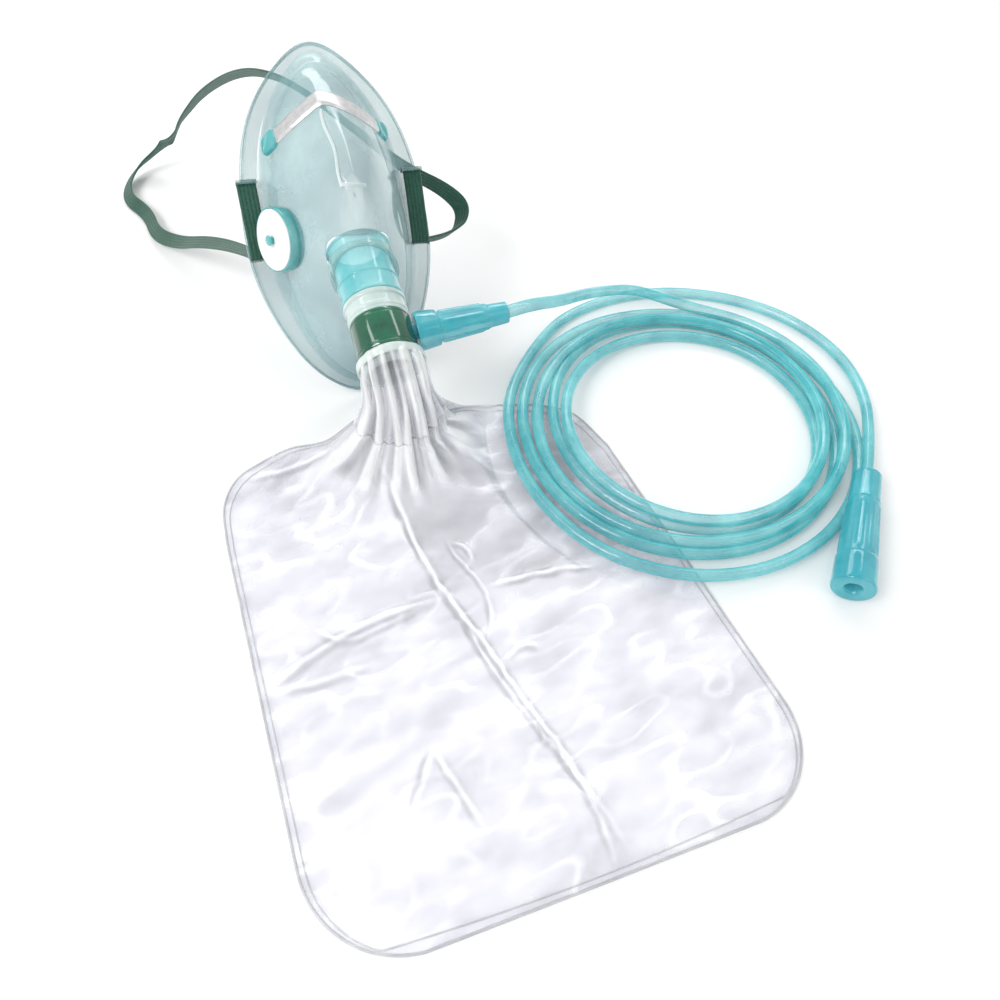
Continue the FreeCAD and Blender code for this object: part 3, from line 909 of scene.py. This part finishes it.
def body_rows():
    """Straight part and round lower corners, with rows that grow straight towards the bottom."""
    rows = []
    left_side, right_side = BAG_LEFT[1] - BAG_LEFT[0], BAG_RIGHT[1] - BAG_RIGHT[0]
    for k in range(1, BODY_STEPS + 1):
        f = k / BODY_STEPS
        down = 1 - (1 - f) ** 1.35
        into = max(0.0, BAG_CORNER - (1 - down) * left_side.length)
        inset = BAG_CORNER - math.sqrt(max(BAG_CORNER ** 2 - into ** 2, 0.0))
        left, right = BAG_LEFT[0] + left_side * down, BAG_RIGHT[0] + right_side * down
        inward = (right - left).normalized() * inset
        left, right = left + inward, right - inward
        middle = (left + right) / 2 + Vector((0, -68 * (1 - f) ** 1.2))
        fall = 0.9 + 5.1 * (1 - smoothstep(0.80, 1.0, f))
        rows.append(np.array([*left, 1.0, *right, 1.0, *middle, fall, *middle, 0.4, 1.0]))
    return rows


def film_grid(rows, front):
    """Points of one film, row by row from the collar to the bottom weld."""
    u = np.linspace(-1, 1, COLUMNS)
    grid = []
    for row in rows:
        left, right = row[0:3], row[3:6]
        middle = row[6:9] if front else row[9:12]
        flat = row[12]
        across = (1 - flat) * np.sin(u * math.pi / 2) + flat * u
        arch = (1 - flat) * np.cos(u * math.pi / 2) + flat * (1 - np.abs(u) ** 1.9)
        centre = (left + right) / 2
        grid.append(centre + across[:, None] * (right - left) / 2 + arch[:, None] * (middle - centre))
    return np.array(grid)


def distance_to(path, x, y):
    """Distance from points to a bent line, on which side they are, and how far along it, from 0 to 1."""
    path = np.array(path, float)
    lengths = np.linalg.norm(np.diff(path, axis=0), axis=1)
    best, side, share = np.full(x.shape, 1e9), np.zeros(x.shape), np.zeros(x.shape)
    for i, (a, b) in enumerate(zip(path, path[1:])):
        d = b - a
        t = np.clip(((x - a[0]) * d[0] + (y - a[1]) * d[1]) / (d @ d), 0, 1)
        away_x, away_y = x - a[0] - t * d[0], y - a[1] - t * d[1]
        off = np.hypot(away_x, away_y)
        nearer = off < best
        best = np.where(nearer, off, best)
        side = np.where(nearer, np.sign(d[0] * away_y - d[1] * away_x), side)
        share = np.where(nearer, (lengths[:i].sum() + t * lengths[i]) / lengths.sum(), share)
    return best, side, share


def softened(path):
    """The bent line with its corners rounded off."""
    path = np.array(path, float)
    for _ in range(3):
        cut_a, cut_b = 0.75 * path[:-1] + 0.25 * path[1:], 0.25 * path[:-1] + 0.75 * path[1:]
        middle = np.stack([cut_a, cut_b], axis=1).reshape(-1, 2)
        path = np.vstack([path[:1], middle, path[-1:]])
    return path


# creases of the front film: line on the floor, height, half width
CREASES = [
    ([(-29, 80), (-20, 61), (-16, 31), (-11, 7), (-1, -20), (4.5, -44), (11, -62), (16.5, -82),
      (23, -106)], 1.9, 1.9),
    ([(-8, 6), (-5, -16), (1, -40), (8, -60), (14, -76), (17, -90), (17, -108)], 1.4, 1.6),
    ([(-84, -10.5), (-65, -3), (-48, 1.7), (-27, 3.7), (-12, 4.2)], 1.4, 2.1),
    ([(-80, -12.5), (-62, -15), (-44, -14)], 0.8, 2.2),
    ([(-63, 7.5), (-52, -3), (-35, 0), (-15, 3)], 0.9, 2.0),
    ([(7, 3.2), (30, 3.2), (54, 0)], 1.1, 1.8),
    ([(-3, 28.5), (-1, 18), (6, 4), (5.6, -10), (0, -20)], 0.9, 1.3),
    ([(-2, 26), (5, 22), (4.3, 14.5)], 0.8, 1.4),
    ([(-30, -53), (-39, -65), (-44, -73)], 0.9, 1.8),
    ([(-30, -53), (-25, -70), (-21, -83)], 0.8, 1.8),
    ([(3, -29), (14, -24), (19, -28)], 0.8, 1.8),
    ([(-79, 91), (-56, 87), (-34, 83)], 0.9, 2.2),
]


def wrinkles(x, y):
    """Loose swell and small sharp wrinkles of soft film, mostly lying across the bag."""
    swell, sharp = np.zeros(x.shape), np.zeros(x.shape)
    for k in np.ndindex(x.shape):
        px, py = x[k] + 0.25 * y[k], y[k] - 0.2 * x[k]
        swell[k] = noise.noise(Vector((px / 26, py / 10, 3.1)))
        swell[k] += 0.45 * noise.noise(Vector((px / 8, py / 4, 9.7)))
        line = noise.noise(Vector((px / 19, py / 8, 20.4)))
        sharp[k] = max(0.0, 1 - 6 * abs(line)) * (0.6 + 1.2 * noise.noise(Vector((px / 17, py / 17, 41.0))))
    return swell, np.clip(sharp, 0, 1)


def creases(x, y):
    """Height of the creases, and the painted light (above 0) and painted shade (below 0) laid along them: a
    painted highlight on each crest and a painted shadow beside it.
    """
    lift, light = np.zeros(x.shape), np.zeros(x.shape)
    waver = np.array([noise.noise(Vector((a / 6, b / 6, 70.0))) for a, b in zip(x.ravel(), y.ravel())])
    waver = waver.reshape(x.shape)
    for path, height, width in CREASES:
        off, side, share = distance_to(softened(path), x, y)
        off = np.abs(off * side + 0.9 * waver)
        ends = np.clip(np.minimum(share, 1 - share) * 5, 0, 1)
        strength = ends * (0.75 + 0.5 * waver) * (off < 12)
        lift += height * np.exp(-(off / width) ** 1.6) * strength
        # painted highlight along each crest and painted shadow beside it, heavier on one side as if the
        # light came from the other
        crest = np.exp(-(off / (0.34 * width)) ** 2)
        shade = np.exp(-((off - 0.95 * width) / (0.50 * width)) ** 2) * (0.62 - 0.38 * side)
        light += (0.5 * crest - 0.55 * shade) * strength * min(height / 1.3, 1.0)
    return lift, light


def painted_film_shading(x, y, swell, sharp, light):
    """How light the front film looks at each point, from 0 to 1: painted light on its swells, wrinkles and
    crests, painted shade beside the creases, and painted shade on the slope above the cross fold.
    """
    fold = np.array(CREASES[0][0])[::-1]
    across = np.interp(y, fold[:, 1], fold[:, 0])
    # painted shade on the panel above the cross fold, a slope that turns away from the light
    panel_shade = np.clip((y - 3) / 2, 0, 1) * np.clip((x - across) / 3, 0, 1) * np.clip((84 - y) / 8, 0, 1)
    return np.clip(FILM_TONE + 0.28 * swell + 0.32 * sharp + 1.6 * light - 0.20 * panel_shade, 0, 1)


def store_tone(obj, points, tones):
    """Gives each point of a film the tone, its painted light and shade, of the nearest point of the sheet it
    was made from.
    """
    tree = KDTree(len(points))
    for i, point in enumerate(points):
        tree.insert(Vector(point) * MM, i)
    tree.balance()
    values = [tones[tree.find(v.co)[1]] for v in obj.data.vertices]
    attribute = obj.data.attributes.new("tone", "FLOAT", "POINT")
    attribute.data.foreach_set("value", np.array(values, np.float32))


def coil_cap(x, y):
    """Highest the film may reach under the coil of tubing, rising outside it."""
    away = np.hypot(x - COIL_CENTRE.x, y - COIL_CENTRE.y)
    return UNDER_COIL + np.clip(away - COIL_REACH, 0, None) * 0.9


def gather(grid, tone, neck_count, pleats, shift):
    """Draws one film into loose pleats at the neck, which run out on the bag, and paints light on the
    outward pleats and shade in the folds between them.
    """
    u = np.linspace(-1, 1, COLUMNS)
    fade = 1 - np.abs(u) ** 8
    for i in range(len(grid)):
        into = i / (neck_count - 1)
        depth = (0.40 + 1.7 * smoothstep(0.02, 0.5, into)) * (1 - smoothstep(1.0, 1.7, into))
        drift = 0.10 * math.sin(2.6 * into + shift)
        uneven = u + 0.09 * np.sin(4 * u + shift) + drift * u * (1 - u * u)
        wave = np.sin(math.pi * pleats * uneven + shift)
        loose = np.array([noise.noise(Vector((9 * a, 1.3 * into, 5 * shift))) for a in u])
        wave = 0.45 * wave + 0.25 * np.sin(math.pi * 1.9 * pleats * u + 2 * shift) + 1.1 * loose
        pinch = np.sign(wave) * np.abs(wave) ** 0.7
        out = grid[i] - (grid[i][0] + grid[i][-1]) / 2
        out /= np.maximum(np.linalg.norm(out, axis=1), 1e-6)[:, None]
        grid[i] = grid[i] + out * (depth * pinch * fade)[:, None]
        # painted light on the outward pleats and painted shade in the inward folds
        tone[i] += 0.62 * pinch * fade * min(depth, 1.0)


def lay(front, tone, neck_count):
    """Lays creases and wrinkles in the front film below the neck, kept under the coil of tubing."""
    body = front[neck_count:]
    count = len(body)
    edge = 1 - np.abs(np.linspace(-1, 1, COLUMNS)) ** 10
    into = smoothstep(0, TENT_STEPS * 0.4, np.arange(count))[:, None]
    last = (1 - smoothstep(count - 16, count - 1, np.arange(count)))[:, None]
    x, y = body[..., 0].copy(), body[..., 1].copy()
    swell, sharp = wrinkles(x, y)
    height, light = creases(x, y)
    lift = (height + 0.6 * swell + 0.6 * sharp) * edge[None, :] * (0.25 + 0.75 * into) * last
    body[..., 2] = np.minimum(body[..., 2] + np.maximum(lift, -0.5), coil_cap(x, y))
    # painted light and shade of the wrinkles and creases go into the front film's tone
    tone[neck_count:] += (painted_film_shading(x, y, swell, sharp, light) - FILM_TONE) * into


def bag_films():
    """Front and back film with their tones of painted light and shade, and how many rows at the top are the
    gathered neck.
    """
    upper = neck_rows()
    rows = upper + tent_rows()[1:] + body_rows()
    neck_count = len(upper)
    front, back = film_grid(rows, True), film_grid(rows, False)
    tones = [np.full(front.shape[:2], FILM_TONE), np.full(back.shape[:2], FILM_TONE)]
    gather(front, tones[0], neck_count, 7, 0.4)
    gather(back, tones[1], neck_count, 6, 1.3)
    lay(front, tones[0], neck_count)
    front[..., 2] = np.maximum(front[..., 2], FRONT_LOWEST)
    back[..., 2] = np.maximum(back[..., 2], BACK_LOWEST)
    return front, back, tones, neck_count


def film_mesh(name, grid):
    """Thin closed sheet through a grid of points."""
    verts = [tuple(p) for row in grid for p in row]
    obj = make(name, verts, grid_faces(grid.shape[0], grid.shape[1], wrap_columns=False), smooth=80)
    return thickened(obj, FILM, 0.0, even=False)


def weld_line(name, front, inset, radius):
    """Welded seam round the bag, a number of columns inside its edge."""
    margin = np.linalg.norm(front[-BODY_STEPS][inset] - front[-BODY_STEPS][0])
    low = max(k for k in range(len(front)) if front[k][0][1] > front[-1][0][1] + margin)
    left = [row[inset] for row in front[:low]]
    bottom = list(front[low][inset:-inset - 1])
    right = [row[-1 - inset] for row in reversed(front[:low])]
    line = np.array(left + bottom + right)
    keep = [0]
    for k in range(1, len(line)):
        if np.linalg.norm(line[k] - line[keep[-1]]) > 1.2:
            keep.append(k)
    line = line[keep]
    angles = np.linspace(0, 2 * math.pi, 10, endpoint=False)
    section = [(radius * math.cos(a), radius * WELD_FLATNESS * math.sin(a)) for a in angles]
    across = np.cross(np.gradient(line, axis=0), [0, 0, 1.0])
    return sweep(name, line, across, section)


# ---- tubing connectors ----
RIBBED_FROM = 4.2


def fluted(name, place, profile, ribs, depth, start, end, around=144):
    """Turned piece with lengthwise ribs between two stations."""
    verts = []
    for t, r in profile:
        inside = smoothstep(start, start + 1.5, t) * (1 - smoothstep(end - 1.5, end, t))
        for k in range(around):
            a = 2 * math.pi * k / around
            rib = depth * inside * (0.5 + 0.5 * math.cos(ribs * a)) ** 2 if r > RIBBED_FROM else 0
            verts.append(((r + rib) * math.cos(a), (r + rib) * math.sin(a), t))
    return make(name, verts, grid_faces(len(profile), around, wrap_rows=True), place)


def subdivided(points, step=1.0):
    """More points along a closed profile, so that ribs can follow it."""
    result = []
    for (t0, r0), (t1, r1) in zip(points, points[1:] + points[:1]):
        count = max(1, int(math.hypot(t1 - t0, r1 - r0) / step))
        result += [(t0 + (t1 - t0) * k / count, r0 + (r1 - r0) * k / count) for k in range(count)]
    return result


def inlet_connector():
    """Stepped soft connector between the housing's nipple and the tube."""
    place = axis_matrix(INLET, Vector((1, 0, 0)))
    first = CONNECTOR_FIRST
    end = first + CONNECTOR_LENGTH
    profile = rounded([
        (first, 3.1), (first, 8.0), (first + 2.0, 8.2), (first + 9.0, 7.4), (first + 9.6, 6.5),
        (end - 9, 5.4), (end - 8, 4.9), (end, 4.4), (end, 2.75), (end - 12, 2.72), (end - 12, 1.9),
        (first + 18, 1.9), (first + 18, 3.1)], 0.5, 4)
    return fluted("tube_inlet_connector_soft", place, subdivided(profile), 12, 0.5, first + 10, end - 10)


def end_connector():
    """Flared soft connector at the tube's free end, with its socket open."""
    place = axis_matrix(END_START, END_DIR)
    profile = rounded([
        (0, 2.75), (0, 5.6), (0.8, 6.2), (15.6, 6.6), (16.0, 6.35), (16.6, 6.35), (17.0, 6.75), (45.5, 7.9),
        (46.2, 8.4), (59.2, 8.75), (END_LENGTH, 8.4), (END_LENGTH, 3.9), (END_LENGTH - 1.2, 3.1),
        (END_LENGTH - 20, 3.1), (END_LENGTH - 21, 1.9), (12, 1.9), (12, 2.72)], 0.5, 4)
    return fluted("tube_end_connector_soft", place, subdivided(profile), 10, 0.3, 18, 45)


# ---- materials of the pieces ----
def moulded(name, dark, light, roughness, scale=120.0, **settings):
    """Opaque moulded plastic or rubber with faint mottling."""
    m = Nodes(name)
    mottling = m.noise(scale, 4.0, 0.6)
    m.colour(mottling, [(0.3, dark), (0.7, light)])
    m.rough(mottling, roughness * 0.75, roughness * 1.3, 0.3, 0.7)
    m.bump(m.noise(scale * 5, 2.0), 0.00005)
    m.set(**settings)
    return m.material


def bag_film(name, thin, thick):
    """Soft clear film coloured by its tone: painted highlights along its folds and painted shade beside
    them.
    """
    m = Nodes(name)
    grain = m.noise(70.0, 4.0, 0.6, stretch=(1.0, 1.8, 1.0))
    tone = m.add("ShaderNodeAttribute", attribute_name="tone").outputs["Fac"]
    speckled = m.add("ShaderNodeMath", operation="MULTIPLY_ADD")
    m.link(grain, speckled.inputs[0])
    speckled.inputs[1].default_value = 0.16
    m.link(tone, speckled.inputs[2])
    # the ramp turns the painted shade of the tone into grey and its painted light into white, with a little
    # grain
    m.colour(speckled.outputs["Value"], [
        (0.10, (0.20, 0.20, 0.22)), (0.38, (0.42, 0.42, 0.45)), (0.64, (0.70, 0.70, 0.76)),
        (0.92, (1.0, 1.0, 1.0))])
    m.rough(grain, 0.22, 0.40, 0.3, 0.7)
    m.veil(0.3, thin, thick)
    m.bump(grain, 0.0005, 0.7)
    m.set(Coat_Weight=0.7, Coat_Roughness=0.16, IOR=1.5)
    return m.material


def shell_plastic():
    """Tinted clear shell: paler towards the nose, where cloudy painted reflections lie, and darker towards
    the chin, a painted shade.
    """
    m = Nodes("mask_pvc")
    mottling = m.noise(19.0, 5.0, 0.6)
    # painted shade: the colour darkens towards the chin; painted reflections: pale cloudy patches towards
    # the nose
    chin = m.ramp(mottling, [(0.35, (0.09, 0.24, 0.28)), (0.65, (0.24, 0.46, 0.49))])
    nose = m.ramp(mottling, [(0.35, (0.24, 0.48, 0.48)), (0.65, (0.66, 0.88, 0.86))])
    place = m.add("ShaderNodeSeparateXYZ")
    m.link(m.coords, place.inputs["Vector"])
    mix = m.add("ShaderNodeMix", data_type="RGBA")
    m.link(m.span(place.outputs["Y"], 0.0, 1.0, 0.10, 0.33), mix.inputs["Factor"])
    m.link(chin, mix.inputs["A"])
    m.link(nose, mix.inputs["B"])
    m.link(mix.outputs["Result"], m.shader.inputs["Base Color"])
    m.rough(mottling, 0.05, 0.14, 0.3, 0.7)
    m.veil(0.35, 0.34, 0.90)
    m.bump(m.noise(26.0, 3.0, 0.6), 0.0012, 0.8)
    m.set(Coat_Weight=1.0, Coat_Roughness=0.03, IOR=1.5)
    return m.material


def brushed_metal():
    """Aluminium strip, brushed along its length."""
    m = Nodes("clip_aluminium")
    brushing = m.noise(260.0, 4.0, 0.6, stretch=(0.15, 2.5, 2.5))
    m.colour(brushing, [(0.25, (0.62, 0.61, 0.62)), (0.75, (0.88, 0.87, 0.87))])
    m.rough(brushing, 0.28, 0.5)
    m.bump(brushing, 0.00006)
    m.set(Metallic=0.75)
    return m.material


def strap_elastic():
    """Woven rubber elastic: dark green yarn with lighter flecks and fine cross stitches."""
    m = Nodes("strap_elastic")
    weave = m.add("ShaderNodeTexVoronoi", Scale=1500.0)
    m.link(m.coords, weave.inputs["Vector"])
    tone = m.noise(140.0, 4.0, 0.65)
    mixed = m.add("ShaderNodeMath", operation="MULTIPLY")
    m.link(weave.outputs["Distance"], mixed.inputs[0])
    m.link(tone, mixed.inputs[1])
    m.colour(mixed.outputs["Value"], [(0.05, (0.009, 0.060, 0.038)), (0.45, (0.022, 0.115, 0.075))])
    m.bump(weave.outputs["Distance"], 0.00012, 0.5)
    m.set(Roughness=0.75, Sheen_Weight=0.3, Sheen_Roughness=0.5)
    return m.material


# ---- camera, light and the tube ----
camera()
studio()
tube, tube_route = oxygen_tube()
TUBE_PVC = clear_plastic("tube_pvc", (0.01, 0.46, 0.53), (0.17, 0.76, 0.79),
                         thin=0.34, thick=0.97, roughness=0.05, blend=0.5, mottle=75.0)
tube.data.materials.append(TUBE_PVC)
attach(tube, "tubing")
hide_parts("oxygen_tube_lead", "oxygen_tube_coil", "oxygen_tube_tail")
tube_length = length_of(traced(tube_route, 6))

# ---- looks of each material ----
SHELL = shell_plastic()
SLEEVE = clear_plastic("sleeve_pvc", (0.30, 0.58, 0.58), (0.45, 0.72, 0.71),
                       thin=0.30, thick=0.80, roughness=0.08, blend=0.35, mottle=60.0)
TEAL = clear_plastic("valve_teal", (0.04, 0.46, 0.47), (0.12, 0.62, 0.62),
                     thin=0.62, thick=0.97, roughness=0.18, blend=0.4, mottle=90.0)
CONNECTOR = clear_plastic("connector_pvc", (0.02, 0.42, 0.52), (0.07, 0.58, 0.66),
                          thin=0.60, thick=0.98, roughness=0.12, blend=0.4, mottle=70.0)
SWIVEL = clear_plastic("swivel_clear", (0.05, 0.55, 0.60), (0.40, 0.86, 0.88),
                       thin=0.46, thick=0.98, roughness=0.04, blend=0.4, mottle=45.0)
RING = clear_plastic("ring_clear", (0.72, 0.86, 0.82), (0.88, 0.96, 0.93),
                     thin=0.45, thick=0.95, roughness=0.10, blend=0.4, mottle=90.0)
FILM_CLEAR = bag_film("bag_film", thin=0.26, thick=0.72)
NECK_FILM = bag_film("neck_film", thin=0.26, thick=0.85)
WELD = clear_plastic("bag_weld", (0.46, 0.47, 0.49), (0.66, 0.67, 0.69),
                     thin=0.40, thick=0.75, roughness=0.2, blend=0.4, mottle=120.0)
# painted highlight: the crest bead is coloured near white to stand in for the glint along the sharp nose
# crest
CREST = clear_plastic("crest_painted_highlight", (0.70, 0.84, 0.84), (0.92, 0.98, 0.98),
                      thin=0.55, thick=0.95, roughness=0.06, blend=0.4, mottle=70.0)
GREEN = moulded("housing_green", (0.0, 0.045, 0.022), (0.001, 0.17, 0.08), roughness=0.12, scale=60.0,
                Coat_Weight=1.0, Coat_Roughness=0.04)
WHITE = moulded("flap_silicone", (0.80, 0.81, 0.80), (0.90, 0.91, 0.90), roughness=0.42)
ALUMINIUM = brushed_metal()
ELASTIC = strap_elastic()

# ---- mask ----
shell, dome_tree = mask_shell()
dress(shell, SHELL, "mask", "clear_pvc", "mask_shell")
dress(port_sleeve(), SLEEVE, "mask", "clear_pvc")
dress(nose_bead(dome_tree), CREST, "mask", "clear_pvc")
dress(nose_clip(dome_tree), ALUMINIUM, "mask", "clip_metal", "nose_clip")
tabs = joined("nose_clip_tab_pair", [clip_tab(dome_tree, -1), clip_tab(dome_tree, 1)])
dress(tabs, TEAL, "mask", "teal_plastic", "nose_clip_tabs")
dress(valve_seat(), TEAL, "mask", "teal_plastic", "exhalation_seat")
dress(valve_flap(), WHITE, "cheek_flap", "flap_white", "exhalation_flap")

# ---- strap ----
strap, strap_line = strap_loop()
dress(strap, ELASTIC, None, "strap_green", "strap_loop_left", "strap_loop_right")
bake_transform(strap)
for side, hand, loop_end in ((-1, "left", strap_line[0]), (1, "right", strap_line[-1])):
    run = strap_run(side, loop_end)
    dress(run, ELASTIC, "mask", "strap_green", "strap_run_" + hand)

# ---- connector line ----
for piece, material, slot, node in (
        (swivel_connector(), SWIVEL, "teal_clear", "swivel_connector"),
        (seal_ring(), RING, "clear_ring", "seal_ring"),
        (valve_housing(), GREEN, "housing_green", "valve_housing"),
        (collar_ring(), RING, "clear_ring", "bag_collar"),
        (tie_band(), RING, "clear_ring", "bag_tie_band")):
    dress(piece, material, "connector_line", slot, node)
repaint("inhalation_seat", RING)
repaint("inhalation_flap", WHITE)
repaint("inlet_nipple", CONNECTOR)

# ---- bag ----
front, back, tones, neck_count = bag_films()
front_film = film_mesh("bag_front_sheet", front[neck_count - 1:])
back_film = film_mesh("bag_back_sheet", back[neck_count - 1:])
neck_loop = np.concatenate([front[:neck_count], back[:neck_count, -2:0:-1]], axis=1)
neck = make("bag_neck_pleats", [tuple(p) for row in neck_loop for p in row],
            grid_faces(neck_loop.shape[0], neck_loop.shape[1]), smooth=80)
thickened(neck, FILM, 0.0, even=False)
outer_weld = weld_line("bag_weld_outer", front[neck_count - 1:], 0, 0.55)
inner_weld = weld_line("bag_weld_inner", front[neck_count - 1:], 3, 0.32)
for piece, sheet, tone in ((front_film, front, tones[0]), (back_film, back, tones[1])):
    store_tone(piece, sheet[neck_count - 1:].reshape(-1, 3), tone[neck_count - 1:].ravel())
neck_tone = np.concatenate([tones[0][:neck_count], tones[1][:neck_count, -2:0:-1]], axis=1)
store_tone(neck, neck_loop.reshape(-1, 3), neck_tone.ravel())
for piece in (front_film, back_film, neck):
    piece.visible_shadow = False
dress(front_film, FILM_CLEAR, "connector_line", "film_clear", "bag_front_film")
dress(back_film, FILM_CLEAR, "connector_line", "film_clear", "bag_back_film")
dress(neck, NECK_FILM, "connector_line", "film_clear", "bag_neck")
dress(outer_weld, WELD, "connector_line", "film_clear")
dress(inner_weld, WELD, "connector_line", "film_clear")

# ---- tubing connectors ----
inlet_piece = dress(inlet_connector(), CONNECTOR, "tubing", "connector_teal", "tube_inlet_connector")
end_piece = dress(end_connector(), CONNECTOR, "tubing", "connector_teal", "tube_end_connector")
